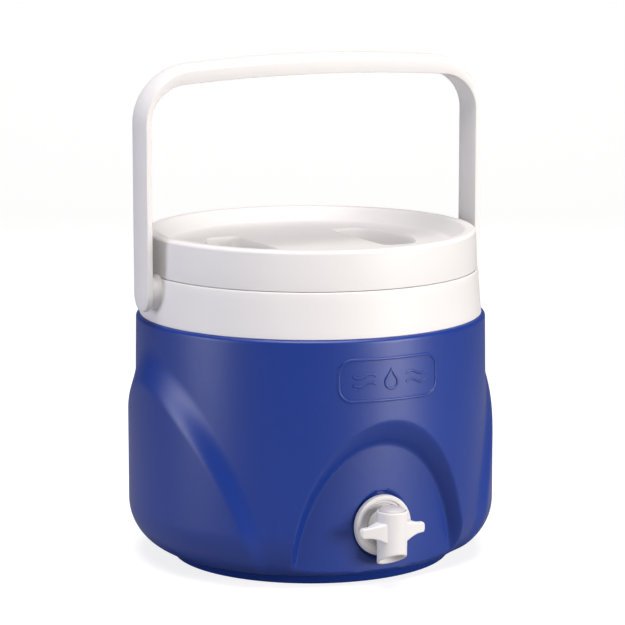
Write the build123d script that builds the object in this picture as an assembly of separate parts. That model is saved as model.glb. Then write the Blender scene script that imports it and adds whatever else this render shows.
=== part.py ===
"""Insulated drink jug with a screw lid, a swinging bail handle and a push-button spigot.

Millimetres, +Z up. The origin is the middle of the foot on the surface that the jug stands on.
The spigot points to -Y and the handle's pivots lie on the X direction.
"""
from build123d import *
import math
import os

os.makedirs("parts", exist_ok=True)

# Overall sizes
jug_radius = 145.0          # widest radius, over the two side bulges
shell_height = 193.7        # standing surface to the outer shell's top edge
collar_height = 35.4
lid_height = 30.5
bail_reach = 164.3          # handle pivot to the underside of the grip
spigot_height = 47.0        # standing surface to the shank's axis

# How far a cutting solid runs past what it cuts
overrun = 5.0

# Outer shell
shell_wall = 2.5
bulge_rise = 4.8
side_radius = jug_radius - bulge_rise
top_radius = side_radius - 2.4
top_edge_round = 3.0
base_radius = jug_radius - 27.0
corner_height = 45.0
floor_height = 8.0
foot_setback = 7.5
foot_radius = base_radius - foot_setback
foot_width = 10.5
top_lip = 9.8               # width of the shell's flat top edge
mouth_radius = top_radius - top_lip
fill_plug_radius = 8.0
fill_plug_length = 4.5
foam_gap = 0.5              # foam to the spigot's shank and to the fill plug

# Badge frame, a raised rounded rectangle with a drop in it
badge_width = 86.0
badge_height = 33.0
badge_corner = 11.0
badge_line = 2.2
badge_relief = 0.8
badge_drop_below_top = 31.0
badge_centre = shell_height - badge_drop_below_top
drop_radius = 6.0
drop_length = 12.0          # centre of the drop's round end to its tip
drop_lowering = 2.4

# Side bulges, and the arched recesses in the front and the back
bulge_half_width = 97.0
bulge_top_gap = 23.2
bulge_arch_height = shell_height - bulge_top_gap
recess_depth = 17.2
back_recess_depth = 6.0
panel_curve_radius = 170.0
recess_mouth_plane = jug_radius + overrun
recess_mouth_half_width = 101.0
recess_badge_gap = 1.2
recess_mouth_arch = badge_centre - badge_height / 2 - recess_badge_gap
recess_back_half_width = 61.0
recess_back_arch = 79.5
recess_funnel_depth = 23.0  # the sloped sides run this far behind the panel
slope_allowance = 1.4       # a sloped side moves this much further than the wall is thick

# Collar
collar_wall = 2.8
collar_bottom_radius = top_radius - 3.0
collar_top_radius = collar_bottom_radius - 3.0
collar_top = shell_height + collar_height
collar_edge = 1.0           # chamfer round the top edge
collar_lip = 12.8           # width of the collar's top face
throat_radius = collar_top_radius - collar_lip
throat_wall = 2.5
throat_depth = 19.3
boss_radius = 12.0
boss_top_gap = 0.1
pivot_height = collar_top - boss_radius - boss_top_gap
boss_setback = 5.0
boss_length = 11.0
boss_face = jug_radius - boss_setback
boss_inner_face = boss_face - boss_length
trunnion_radius = 6.0
trunnion_clearance = 0.08

# Liner
liner_wall = 2.5
liner_lip = 7.0
liner_top_radius = throat_radius - liner_lip
liner_draft = 4.0
liner_floor = 30.0
liner_top = collar_top - throat_depth
liner_boss_radius = 18.0
liner_boss_depth = 5.4

# Screw thread between lid and collar
thread_lead = 24.0
thread_starts = 3
thread_half_angle = 25.0
thread_thickness = 3.0
thread_depth = 2.0
thread_clearance = 0.4
thread_root = 0.5           # how far a rib or a lug sinks into its wall
rib_clearance = 0.6
rib_drop = 7.1
rib_height = collar_top - rib_drop

# Lid
seam_gap = 0.4
lid_wall = 2.5
lid_bottom = collar_top + seam_gap
lid_bottom_radius = collar_top_radius - 0.5
lid_top_radius = lid_bottom_radius - 1.2
lid_top = lid_bottom + lid_height
lid_edge_round = 3.0
lid_edge_break = 0.9        # the round edge's middle facet, in from both faces
rim_width = 9.0
rim_inner_radius = lid_top_radius - rim_width
recess_slope = 8.0
recess_floor_radius = rim_inner_radius - recess_slope
lid_recess_depth = 11.0
lid_floor = lid_top - lid_recess_depth
slope_wall_share = 0.8      # the sloped wall moves this much of the wall's thickness
pocket_wall_share = 1.2
pocket_outer_radius = 83.0
pocket_half_length = 49.0
bar_half_width = 41.0       # half the grip bar that is left between the two pockets
pocket_floor_height = 5.5
pocket_floor = lid_bottom + pocket_floor_height
pocket_corner = 8.0
plug_radius = throat_radius - thread_depth - thread_clearance
rib_depth = throat_radius - plug_radius - rib_clearance
plug_wall = 2.5
gasket_thickness = 2.0
gasket_gap = 0.2
plug_bottom = liner_top + gasket_thickness + gasket_gap
plate_thickness = 2.5
gasket_width = 3.6
lid_fit = 0.15

# Bail handle
bail_width = 28.0
leg_thickness = 6.7
grip_thickness = 16.2
bail_side_gap = 0.3
bail_inner = boss_face + bail_side_gap
bail_outer = bail_inner + leg_thickness
grip_bottom = pivot_height + bail_reach
grip_top = grip_bottom + grip_thickness
grip_drop = 7.0
outer_corner = 42.0
inner_corner = 30.0
crown_side = 9.0
crown_rise = 2.2
snap_head_radius = 7.4
snap_head_thickness = 2.4
pin_root = 1.0              # how far a trunnion sinks into its leg

# Spigot
shank_radius = 9.0
shank_clearance = 0.1
water_bore = 4.0
button_bore = 10.1
tube_wall = 1.9
outlet_bore = 9.3
outlet_wall = 2.05
tube_top_radius = button_bore + tube_wall
tube_bottom_radius = outlet_bore + outlet_wall
tube_setback = 17.5         # tube's axis in front of the recess panel
tube_top = spigot_height + 15.0
tube_bottom = spigot_height - 31.0
outlet_middle = spigot_height - 22.0
outlet_slant = 29.0
chamber_bore = 9.0
seat_top = spigot_height - 6.0
seat_thickness = 2.0
seat_bore = 5.5
guide_bottom = spigot_height + 4.5
guide_thickness = 2.0
wing_half_span = 27.4
wing_depth = 9.0
wing_root_top = 7.0
wing_root_bottom = -6.5
wing_tip_top = 4.5
wing_tip_bottom = -2.0
wing_tip_round = 2.0
wing_root_sink = 2.0
wing_scoop_place = 0.45     # share of the span from the root to the scoop's middle
wing_scoop_height = -1.8
shoulder_width = 4.0
shoulder_thickness = 2.0
escutcheon_radius = 24.0
escutcheon_ring = 5.3
escutcheon_plate = 2.3
escutcheon_rise = 2.5
washer_thickness = 1.5
washer_radius = 20.0
nut_flats = 28.0
nut_thickness = 6.0
nut_washer_radius = 15.0
shank_tail = 3.0

# Valve
stem_radius = 2.5
stem_clearance = 0.08
stem_seal_thickness = 1.0
stem_seal_radius = 8.5
button_radius = button_bore - 0.2
button_skirt_wall = 1.3
button_skirt_depth = 2.5
button_rise = 2.6
button_ceiling_rise = 0.2
button_skirt_bottom = tube_top - button_skirt_depth
button_ceiling = tube_top + button_ceiling_rise
button_top = tube_top + button_rise
button_edge = 1.2
button_edge_height = 0.5
button_crown = 0.1
button_hub_radius = 4.0
cup_radius = 7.5
cup_thickness = 2.9
cup_rim = 1.74
cup_gap = 0.1
stem_head_radius = 4.5
stem_head_thickness = 1.7
spring_radius = 6.4
spring_wire = 0.45
spring_turns = 3.5

# Places that follow from the sizes above
panel_front = side_radius - recess_depth
recess_back_plane = panel_front - recess_funnel_depth
pad_margin = 2.0
pad_radius = escutcheon_radius + pad_margin
pad_sink = panel_curve_radius - math.sqrt(panel_curve_radius ** 2 - pad_radius ** 2)
pad_face = -(panel_front - pad_sink)
washer_face = pad_face - washer_thickness
dish_face = washer_face - escutcheon_plate
tube_axis = -(panel_front + tube_setback)
liner_spigot_radius = liner_top_radius - liner_draft * (liner_top - spigot_height) / (liner_top - liner_floor)
liner_boss_face = -(liner_spigot_radius - liner_boss_depth)
nut_back_face = liner_boss_face + washer_thickness
shank_end = nut_back_face + nut_thickness + shank_tail
seal_top = guide_bottom + guide_thickness + stem_seal_thickness


def turned(*points):
    """Solid of revolution about Z of a closed half section given as (radius, height) points."""
    outline = Polyline(*points, close=True)
    return revolve(Plane.XZ * make_face(outline), Axis.Z)


def ring(outer, inner, bottom, top):
    return turned((inner, bottom), (outer, bottom), (outer, top), (inner, top))


def rod_y(radius, front, back, height=spigot_height):
    """Round rod along Y between two faces."""
    middle = (front + back) / 2
    return Pos(0, middle, height) * Rot(90, 0, 0) * Cylinder(radius, abs(back - front))


def ring_y(outer, inner, front, back):
    return rod_y(outer, front, back) - rod_y(inner, front - 1, back + 1)


def rod_x(radius, start, end):
    """Round rod along X at the handle's pivot."""
    middle = (start + end) / 2
    return Pos(middle, 0, pivot_height) * Rot(0, 90, 0) * Cylinder(radius, abs(end - start))


def rod_z(radius, bottom, top, y=0.0):
    return Pos(0, y, (bottom + top) / 2) * Cylinder(radius, top - bottom)


def body_round(side, top, inset, edge_round):
    """Turned body with a rounded lower corner, shrunk by inset on every face."""
    low = floor_height + inset
    high = shell_height - inset
    base = base_radius - inset
    wide = side - inset
    narrow = top - inset
    floor = Line((0, low), (base, low))
    corner = TangentArc((wide, corner_height), (base, low), tangent=(0, -1))
    wall = Line((wide, corner_height), (narrow, high - edge_round))
    edge = TangentArc((narrow, high - edge_round), (narrow - edge_round, high), tangent=(0, 1))
    roof = Line((narrow - edge_round, high), (0, high))
    axis = Line((0, high), (0, low))
    return revolve(Plane.XZ * make_face([floor, corner, wall, edge, roof, axis]), Axis.Z)


def arch_cutter(depth, inset):
    """Space in front of an arched recess: sloped sides, and a gently curved panel behind."""
    grow = slope_allowance * inset
    mouth = Ellipse(recess_mouth_half_width + grow, recess_mouth_arch + grow)
    back = Ellipse(recess_back_half_width + grow, recess_back_arch + grow)
    funnel = loft([Plane.XZ.offset(recess_back_plane) * back, Plane.XZ.offset(recess_mouth_plane) * mouth])
    centre = panel_curve_radius - side_radius + depth
    return funnel - rod_z(panel_curve_radius - inset, -2 * shell_height, 2 * shell_height, centre)


def shell_form(inset):
    """Solid form of the jug body, shrunk by inset, with its bulges and its recesses."""
    form = body_round(side_radius, top_radius, inset, top_edge_round)
    bulged = body_round(jug_radius, jug_radius, inset, top_edge_round)
    arch = Ellipse(bulge_half_width - inset, bulge_arch_height - inset)
    form += bulged & extrude(Plane.YZ * arch, jug_radius + overrun, both=True)
    form -= arch_cutter(recess_depth, inset)
    form -= Rot(0, 0, 180) * arch_cutter(back_recess_depth, inset)
    form -= rod_y(pad_radius + inset, -recess_mouth_plane, pad_face + inset)
    return form


def badge_relief_solid():
    """Raised frame and drop that follow the round front of the shell."""
    frame = RectangleRounded(badge_width, badge_height, badge_corner)
    inner_width = badge_width - 2 * badge_line
    inner_height = badge_height - 2 * badge_line
    frame -= RectangleRounded(inner_width, inner_height, badge_corner - badge_line)
    lean = math.asin(drop_radius / drop_length)
    touch_side = drop_radius * math.cos(lean)
    touch_height = drop_radius * math.sin(lean)
    point = Polyline((-touch_side, touch_height), (0, drop_length), (touch_side, touch_height), close=True)
    drop = Circle(drop_radius) + make_face(point)
    marks = frame + Pos(0, -drop_lowering) * drop
    prism = extrude(Plane.XZ.offset(panel_front) * (Pos(0, badge_centre) * marks), 2 * recess_depth)
    skin = body_round(side_radius + badge_relief, top_radius + badge_relief, 0, top_edge_round)
    return prism & skin


def make_body_shell():
    outside = shell_form(0) + badge_relief_solid()
    shell = outside - shell_form(shell_wall)
    shell -= rod_z(mouth_radius, shell_height - 2 * shell_wall, shell_height + 1)
    shell += ring(foot_radius, foot_radius - foot_width, 0, floor_height + shell_wall / 2)
    shell -= rod_y(shank_radius + shank_clearance, pad_face - overrun, pad_face + 2 * overrun)
    return shell - rod_z(fill_plug_radius, 0, floor_height + 2 * shell_wall)


def liner_form(inset):
    """Solid of the tank, shrunk by inset from the liner's outer face."""
    low = liner_floor - liner_wall + inset
    bottom = liner_top_radius - liner_draft + liner_wall - inset
    top = liner_top_radius + liner_wall - inset
    return turned((0, low), (bottom, low), (top, liner_top), (0, liner_top))


def liner_outside():
    """Everything that the liner displaces from the foam."""
    flange = rod_z(throat_radius + throat_wall, liner_top - liner_wall, liner_top)
    boss = rod_y(liner_boss_radius, -(liner_spigot_radius + 1), liner_boss_face)
    return liner_form(0) + flange + boss


def make_inner_liner():
    tank = liner_form(liner_wall) + rod_z(liner_top_radius, liner_top - 1, liner_top + 1)
    tank -= rod_y(liner_boss_radius, -(liner_spigot_radius + 1), liner_boss_face)
    liner = liner_outside() - tank
    return liner - rod_y(shank_radius + shank_clearance, -jug_radius, liner_boss_face + overrun)


def make_foam():
    foam = shell_form(shell_wall) - liner_outside()
    foam -= rod_y(shank_radius + foam_gap, -jug_radius, liner_boss_face)
    return foam - rod_z(fill_plug_radius + foam_gap, floor_height, floor_height + 2 * shell_wall)


def make_foam_fill_plug():
    return rod_z(fill_plug_radius - lid_fit, floor_height, floor_height + fill_plug_length)


def thread_lug(outer, inner, height, turn):
    """One inclined thread segment on a round wall, rising anticlockwise."""
    middle = (outer + inner) / 2
    rise = math.degrees(math.atan(thread_lead / (2 * math.pi * middle)))
    length = 2 * middle * math.sin(math.radians(thread_half_angle))
    slab = Rot(0, 0, turn) * Pos(middle, 0, height) * Rot(rise, 0, 0) * Box(middle, length, thread_thickness)
    return slab & ring(outer, inner, height - thread_lead / 2, height + thread_lead / 2)


def make_collar():
    """Hollow ring between shell and lid, with the handle's bosses and the lid's thread ribs."""
    collar = turned(
        (collar_bottom_radius - collar_wall, shell_height),
        (collar_bottom_radius, shell_height),
        (collar_top_radius, collar_top - collar_edge),
        (collar_top_radius - collar_edge, collar_top),
        (throat_radius, collar_top),
        (throat_radius, liner_top),
        (throat_radius + throat_wall, liner_top),
        (throat_radius + throat_wall, collar_top - collar_wall),
        (collar_top_radius - collar_wall, collar_top - collar_wall),
    )
    for side in (-1, 1):
        collar += rod_x(boss_radius, side * boss_inner_face, side * boss_face)
        bore_start = side * (boss_inner_face - overrun)
        bore_end = side * (boss_face + overrun)
        collar -= rod_x(trunnion_radius + trunnion_clearance, bore_start, bore_end)
    for start in range(thread_starts):
        turn = start * 360 / thread_starts
        collar += thread_lug(throat_radius + thread_root, throat_radius - rib_depth, rib_height, turn)
    return collar


def lid_form(inset):
    """Solid form of the lid's top, shrunk by inset, with the stacking recess and finger pockets."""
    edge = lid_edge_round
    form = turned(
        (0, lid_bottom),
        (lid_bottom_radius - inset, lid_bottom),
        (lid_top_radius - inset, lid_top - edge - inset),
        (lid_top_radius - lid_edge_break - inset, lid_top - lid_edge_break - inset),
        (lid_top_radius - edge - inset, lid_top - inset),
        (rim_inner_radius + inset, lid_top - inset),
        (recess_floor_radius + slope_wall_share * inset, lid_floor - inset),
        (0, lid_floor - inset),
    )
    for side in (-1, 1):
        grow = pocket_wall_share * inset
        start = bar_half_width - grow
        middle = side * (start + pocket_outer_radius / 2)
        slot = Pos(middle, 0) * Rectangle(pocket_outer_radius, 2 * (pocket_half_length + grow))
        outline = slot & Circle(pocket_outer_radius + grow)
        outline = fillet(outline.vertices(), pocket_corner)
        mouth = lid_floor + lid_fit
        form -= extrude(Pos(0, 0, mouth) * outline, pocket_floor - inset - mouth)
    return form


def lid_inside():
    """Hollow of the lid's top moulding, open at the bottom."""
    return lid_form(lid_wall)


def make_lid_top():
    return lid_form(0) - lid_inside()


def plug_outline(inset):
    """Solid of the lid's lower moulding: a plate that fits the skirt, and a plug that fits the throat."""
    plate = lid_bottom_radius - lid_wall - 2 * lid_fit
    return turned(
        (0, plug_bottom + inset),
        (plug_radius - inset, plug_bottom + inset),
        (plug_radius - inset, lid_bottom),
        (plate, lid_bottom),
        (plate, lid_bottom + plate_thickness),
        (0, lid_bottom + plate_thickness),
    )


def make_lid_plug():
    plug = plug_outline(0)
    plug -= rod_z(plug_radius - plug_wall, plug_bottom + plug_wall, lid_bottom + 2 * plate_thickness)
    for start in range(thread_starts):
        turn = start * 360 / thread_starts
        lug_height = rib_height - thread_thickness - thread_clearance
        plug += thread_lug(plug_radius + thread_depth, plug_radius - thread_root, lug_height, turn)
    return plug - rod_z(fill_plug_radius, plug_bottom - overrun, plug_bottom + 2 * plug_wall)


def make_lid_foam():
    above = lid_inside() - rod_z(jug_radius, lid_bottom - overrun, lid_bottom + plate_thickness)
    below = rod_z(plug_radius - plug_wall, plug_bottom + plug_wall, lid_bottom + plate_thickness)
    return above + below - rod_z(fill_plug_radius, plug_bottom, plug_bottom + 2 * plug_wall)


def make_lid_fill_plug():
    return rod_z(fill_plug_radius - lid_fit, plug_bottom, plug_bottom + fill_plug_length)


def make_lid_gasket():
    return ring(plug_radius, plug_radius - gasket_width, plug_bottom - gasket_thickness, plug_bottom)


def bail_outline(half_width, bottom, peak, corner):
    """Arch of the handle in the XZ plane: two upright sides, round corners and a slightly arched top."""
    shoulder = peak - grip_drop
    right = Line((half_width, bottom), (half_width, shoulder))
    top = ThreePointArc((half_width, shoulder), (0, peak), (-half_width, shoulder))
    left = Line((-half_width, shoulder), (-half_width, bottom))
    foot = Line((-half_width, bottom), (half_width, bottom))
    face = make_face([right, top, left, foot])
    corners = face.vertices().filter_by(lambda vertex: vertex.Y > bottom + overrun)
    return Plane.XZ * fillet(corners, corner)


def make_bail_handle():
    """One moulding: flat legs, a deep crowned grip, and trunnions that snap into the collar."""
    bottom = pivot_height - bail_width
    outer = extrude(bail_outline(bail_outer, bottom, grip_top, outer_corner), bail_width / 2, both=True)
    for end in (0, -1):
        flank = outer.faces().sort_by(Axis.Y)[end]
        rim = flank.edges().filter_by(lambda edge: edge.center().Z > bottom + overrun)
        outer = chamfer(rim, crown_rise, crown_side, reference=flank)
    inner_outline = bail_outline(bail_inner, bottom - overrun, grip_bottom, inner_corner)
    inner = extrude(inner_outline, bail_width, both=True)
    side_view = Pos(0, pivot_height) * Circle(bail_width / 2)
    side_view += Pos(0, pivot_height + grip_top / 2) * Rectangle(bail_width, grip_top)
    bail = (outer - inner) & extrude(Plane.YZ * side_view, bail_outer + overrun, both=True)
    for side in (-1, 1):
        head_face = side * (boss_inner_face - bail_side_gap)
        head_end = side * (boss_inner_face - bail_side_gap - snap_head_thickness)
        bail += rod_x(trunnion_radius, head_end, side * (bail_inner + pin_root))
        bail += rod_x(snap_head_radius, head_end, head_face)
    return bail


def spigot_wing(side):
    """Finger wing beside the tube, flat on top and scooped underneath."""
    root = tube_top_radius - wing_root_sink
    tip = wing_half_span - wing_tip_round
    scoop = root + wing_scoop_place * (wing_half_span - root)
    top_root = (side * root, spigot_height + wing_root_top)
    top_tip = (side * tip, spigot_height + wing_tip_top)
    end = (side * wing_half_span, spigot_height + (wing_tip_top + wing_tip_bottom) / 2)
    low_tip = (side * tip, spigot_height + wing_tip_bottom)
    low_middle = (side * scoop, spigot_height + wing_scoop_height)
    low_root = (side * root, spigot_height + wing_root_bottom)
    outline = [
        Line(top_root, top_tip),
        ThreePointArc(top_tip, end, low_tip),
        ThreePointArc(low_tip, low_middle, low_root),
        Line(low_root, top_root),
    ]
    return extrude(Plane.XZ.offset(-tube_axis) * make_face(outline), wing_depth)


def make_faucet_body():
    """Moulded spigot: shank, shoulder, upright tube with a slanted outlet, and two finger wings."""
    tube = Pos(0, tube_axis, (tube_top + tube_bottom) / 2) * Cone(
        tube_bottom_radius, tube_top_radius, tube_top - tube_bottom)
    below = Box(8 * outlet_bore, 8 * outlet_bore, 6 * outlet_bore)
    tube -= Pos(0, tube_axis, outlet_middle) * Rot(-outlet_slant, 0, 0) * Pos(0, 0, -3 * outlet_bore) * below
    body = tube + spigot_wing(-1) + spigot_wing(1)
    body += rod_y(shank_radius, tube_axis, shank_end)
    body += rod_y(shank_radius + shoulder_width, dish_face - shoulder_thickness, dish_face)
    body -= rod_y(water_bore, tube_axis, shank_end + overrun)
    body -= rod_z(chamber_bore, seat_top, guide_bottom, tube_axis)
    body -= rod_z(seat_bore, seat_top - seat_thickness - 1, seat_top + 1, tube_axis)
    body -= rod_z(outlet_bore, tube_bottom - overrun, seat_top - seat_thickness, tube_axis)
    body -= rod_z(stem_radius + stem_clearance, guide_bottom - 1, tube_top, tube_axis)
    return body - rod_z(button_bore, guide_bottom + guide_thickness, tube_top + 1, tube_axis)


def make_escutcheon():
    plate = ring_y(escutcheon_radius, shank_radius + shank_clearance, dish_face, washer_face)
    rim = ring_y(escutcheon_radius, escutcheon_radius - escutcheon_ring, dish_face - escutcheon_rise, dish_face)
    return plate + rim


def make_shank_washer(radius, front, back):
    return ring_y(radius, shank_radius + shank_clearance, front, back)


def make_nut():
    across_corners = nut_flats / math.sqrt(3)
    outline = RegularPolygon(across_corners, 6)
    nut = extrude(Plane.XZ.offset(-nut_back_face) * (Pos(0, spigot_height) * outline), -nut_thickness)
    bore_end = nut_back_face + nut_thickness + overrun
    return nut - rod_y(shank_radius + shank_clearance, nut_back_face - overrun, bore_end)


def make_push_button():
    """Domed cap with a skirt outside the spring and a hub that holds the stem."""
    skirt = rod_z(button_radius, button_skirt_bottom, button_ceiling)
    skirt -= rod_z(button_radius - button_skirt_wall, button_skirt_bottom - 1, button_ceiling)
    cap = turned(
        (0, button_ceiling),
        (button_radius, button_ceiling),
        (button_radius, button_top - button_edge),
        (button_radius - button_edge, button_top - button_edge_height),
        (button_radius / 2, button_top - button_crown),
        (0, button_top),
    )
    hub = rod_z(button_hub_radius, button_skirt_bottom, button_ceiling)
    button = skirt + cap + hub - rod_z(stem_radius, button_skirt_bottom - 1, button_ceiling)
    return Pos(0, tube_axis, 0) * button


def make_valve_stem():
    seat_under = seat_top - seat_thickness
    head_top = seat_under - cup_gap - cup_thickness
    stem = rod_z(stem_radius, head_top - stem_head_thickness, button_ceiling, tube_axis)
    return stem + rod_z(stem_head_radius, head_top - stem_head_thickness, head_top, tube_axis)


def make_valve_cup():
    top = seat_top - seat_thickness - cup_gap
    cup = turned(
        (stem_radius, top - cup_thickness),
        (stem_head_radius, top - cup_thickness),
        (cup_radius, top - cup_rim),
        (cup_radius, top),
        (stem_radius, top),
    )
    return Pos(0, tube_axis, 0) * cup


def make_stem_seal():
    seal = ring(stem_seal_radius, stem_radius + stem_clearance, guide_bottom + guide_thickness, seal_top)
    return Pos(0, tube_axis, 0) * seal


def make_spring():
    """Compression spring between the stem seal and the button."""
    length = button_ceiling - seal_top - 2 * spring_wire
    path = Helix(length / spring_turns, length, spring_radius)
    section = Plane(origin=path @ 0, z_dir=path % 0) * Circle(spring_wire)
    return Pos(0, tube_axis, seal_top + spring_wire) * sweep(section, path=path, is_frenet=True)


pieces = {
    "body_shell": make_body_shell(),
    "insulation_foam": make_foam(),
    "inner_liner": make_inner_liner(),
    "collar": make_collar(),
    "foam_fill_plug": make_foam_fill_plug(),
    "bail_handle": make_bail_handle(),
    "lid_top": make_lid_top(),
    "lid_plug": make_lid_plug(),
    "lid_foam": make_lid_foam(),
    "lid_fill_plug": make_lid_fill_plug(),
    "lid_gasket": make_lid_gasket(),
    "faucet_body": make_faucet_body(),
    "faucet_escutcheon": make_escutcheon(),
    "faucet_outer_washer": make_shank_washer(washer_radius, washer_face, pad_face),
    "faucet_inner_washer": make_shank_washer(nut_washer_radius, liner_boss_face, nut_back_face),
    "faucet_nut": make_nut(),
    "push_button": make_push_button(),
    "valve_stem": make_valve_stem(),
    "valve_cup": make_valve_cup(),
    "stem_seal": make_stem_seal(),
    "faucet_spring": make_spring(),
}

for name, piece in pieces.items():
    export_step(piece, f"parts/{name}.step")
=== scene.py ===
import math
import bmesh
import bpy
import numpy as np
from mathutils import Matrix, Vector


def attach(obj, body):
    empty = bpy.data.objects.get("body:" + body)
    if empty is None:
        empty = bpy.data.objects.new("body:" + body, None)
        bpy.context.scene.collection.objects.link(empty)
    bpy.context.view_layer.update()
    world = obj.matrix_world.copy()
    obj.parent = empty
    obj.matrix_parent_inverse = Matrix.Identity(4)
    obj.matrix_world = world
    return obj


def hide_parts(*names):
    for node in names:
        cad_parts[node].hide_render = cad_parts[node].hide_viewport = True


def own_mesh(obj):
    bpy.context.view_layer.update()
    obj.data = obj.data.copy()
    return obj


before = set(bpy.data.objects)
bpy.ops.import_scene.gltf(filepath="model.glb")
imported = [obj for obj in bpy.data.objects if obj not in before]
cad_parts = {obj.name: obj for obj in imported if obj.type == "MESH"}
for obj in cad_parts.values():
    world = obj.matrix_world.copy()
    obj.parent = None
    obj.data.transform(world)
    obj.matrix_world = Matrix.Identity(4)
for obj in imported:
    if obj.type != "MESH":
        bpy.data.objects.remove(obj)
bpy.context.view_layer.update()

# ---------------------------------------------------------------------------------------------
# Outer shell. A hollow polyethylene moulding with a fine pebbled skin, a round lower corner and
# a foot ring. Two low arches swell out at the sides, and an arch is sunk into the front for the
# spigot, with a shallow one to match it at the back. The frame of the badge is moulded on.
MM = 0.001
FLOOR_Z = 8.0
SHELL_TOP = 193.7
SHELL_WALL = 2.5
SIDE_R = 140.18
TOP_R = 137.8
BULGE_R = 144.9
BASE_R = 118.0
CORNER_Z = 45.0
TOP_ROUND = 3.0
MOUTH_R = 128.2
FOOT_OUT = 110.5
FOOT_IN = 100.0
BASE_EASE = 1.5             # height over which the side turns under into the base
BASE_START = 0.25           # height of the first ring above the base
BASE_TUCK = 1.6
PANEL_CURVE = 170.0         # radius of the sunk panels, flatter than the side
PANEL_OUT = (32.8, 131.0)   # a panel's half-width in degrees and its height, at its outer edge
PANEL_BEND = (2.0, 2.0)
FRONT_IN = (31.4, 109.0)    # the same at the foot of its slope
BACK_IN = (31.9, 122.0)
FRONT_DEPTH = 17.2
BACK_DEPTH = 6.0
BULGE_OUT = (52.0, 177.0)   # the side arches, measured from the side
BULGE_IN = (46.0, 144.0)
BULGE_BEND = (1.6, 1.7)     # 2 and 2 would make the arch line an ellipse
PAD_R = 25.6                # flat seat for the spigot's flange
PAD_Y = 121.0
PAD_SPREAD = 1.2
PAD_EDGE = 1.5
SPIGOT_Z = 47.0


def linear(code):
    """An sRGB hex colour as linear red, green, blue and alpha."""
    channels = [int(code[i:i + 2], 16) / 255 for i in (1, 3, 5)]
    bent = [c / 12.92 if c <= 0.04045 else ((c + 0.055) / 1.055) ** 2.4 for c in channels]
    return (*bent, 1.0)


def add_node(tree, kind, inputs, **settings):
    """One node with its settings; an input is a value, or a socket to link from."""
    made = tree.nodes.new(kind)
    for key, value in settings.items():
        setattr(made, key, value)
    for key, value in inputs.items():
        if isinstance(value, bpy.types.NodeSocket):
            tree.links.new(value, made.inputs[key])
        else:
            made.inputs[key].default_value = value
    return made


def ease(t):
    """Smooth step from 0 to 1 with level ends."""
    t = np.clip(t, 0.0, 1.0)
    return t * t * (3 - 2 * t)


def skin(name, rings, poles=(None, None), closed=False, sharp=40):
    """A smooth mesh through rings of points in millimetres. A pole closes the first or last ring."""
    rings = np.asarray(rings, dtype=float)
    count, around = rings.shape[:2]
    points = list(rings.reshape(-1, 3) * MM)
    faces = []
    for i in range(count if closed else count - 1):
        here = i * around
        there = ((i + 1) % count) * around
        for j in range(around):
            k = (j + 1) % around
            faces.append((here + j, here + k, there + k, there + j))
    for start, pole in zip((0, (count - 1) * around), poles):
        if pole is not None:
            tip = len(points)
            points.append(np.array(pole) * MM)
            faces += [(start + j, start + (j + 1) % around, tip) for j in range(around)]
    mesh = bpy.data.meshes.new(name)
    mesh.from_pydata(points, [], faces)
    made = bmesh.new()
    made.from_mesh(mesh)
    bmesh.ops.recalc_face_normals(made, faces=made.faces)
    made.to_mesh(mesh)
    made.free()
    mesh.shade_smooth()
    mesh.set_sharp_from_angle(angle=math.radians(sharp))
    piece = bpy.data.objects.new(name, mesh)
    bpy.context.collection.objects.link(piece)
    return piece


def corner_radius(z, side, inset):
    """Radius of the shell's side at a height: round below, then tapering a little to the top."""
    centre = side - ((side - BASE_R) ** 2 + (CORNER_Z - FLOOR_Z) ** 2) / (2 * (side - BASE_R))
    bend = side - centre - inset
    low = centre + np.sqrt(np.maximum(bend ** 2 - (CORNER_Z - z) ** 2, 1.0))
    taper = (SIDE_R - TOP_R) / (SHELL_TOP - CORNER_Z) if side == SIDE_R else 0.0
    high = side - inset - taper * (z - CORNER_Z)
    return np.where(z < CORNER_Z, low, high)


def across(angle, z, outer, inner, bend):
    """0 outside the outer arch line, 1 inside the inner one, and a share in between."""
    out_line = (np.abs(angle) / outer[0]) ** bend[0] + (z / outer[1]) ** bend[1]
    in_line = (np.abs(angle) / inner[0]) ** bend[0] + (z / inner[1]) ** bend[1]
    before = np.maximum(1 - out_line, 0)
    after = np.maximum(in_line - 1, 0)
    return np.where(out_line >= 1, 0.0, np.where(in_line <= 1, 1.0, before / (before + after + 1e-9)))


def panel_radius(angle, depth, inset):
    """Distance of an arch's curved panel from the jug's axis."""
    away = PANEL_CURVE - (SIDE_R - depth)
    run = away * np.cos(np.radians(angle))
    return -run + np.sqrt(run ** 2 + (PANEL_CURVE - inset) ** 2 - away ** 2)


def shell_radius(azimuth, z, inset=0.0):
    """Radius of the shell's surface. Azimuth 0 is the spigot's side, in degrees."""
    plain = corner_radius(z, SIDE_R, inset)
    swollen = corner_radius(z, BULGE_R, inset)
    to_side = np.abs(np.abs(azimuth) - 90)
    swell = across(to_side, z, BULGE_OUT, BULGE_IN, BULGE_BEND)
    radius = plain + (swollen - plain) * ease(swell)
    for middle, depth, inner in ((0, FRONT_DEPTH, FRONT_IN), (180, BACK_DEPTH, BACK_IN)):
        turn = (azimuth - middle + 180) % 360 - 180
        sink = across(turn, z, PANEL_OUT, inner, PANEL_BEND)
        panel = np.minimum(panel_radius(turn, depth, inset), plain)
        radius = radius + (panel - radius) * ease_edge(sink)
    side = SIDE_R * np.sin(np.radians(azimuth))
    front = np.abs(azimuth) < PANEL_OUT[0]
    reach = np.hypot(side, z - SPIGOT_Z)
    pad = (PAD_Y - inset) / np.cos(np.radians(np.where(front, azimuth, 0)))
    level = ease((PAD_R + PAD_SPREAD - reach) / PAD_EDGE)
    return np.where(front & (pad < radius), radius + (pad - radius) * level, radius)


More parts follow.
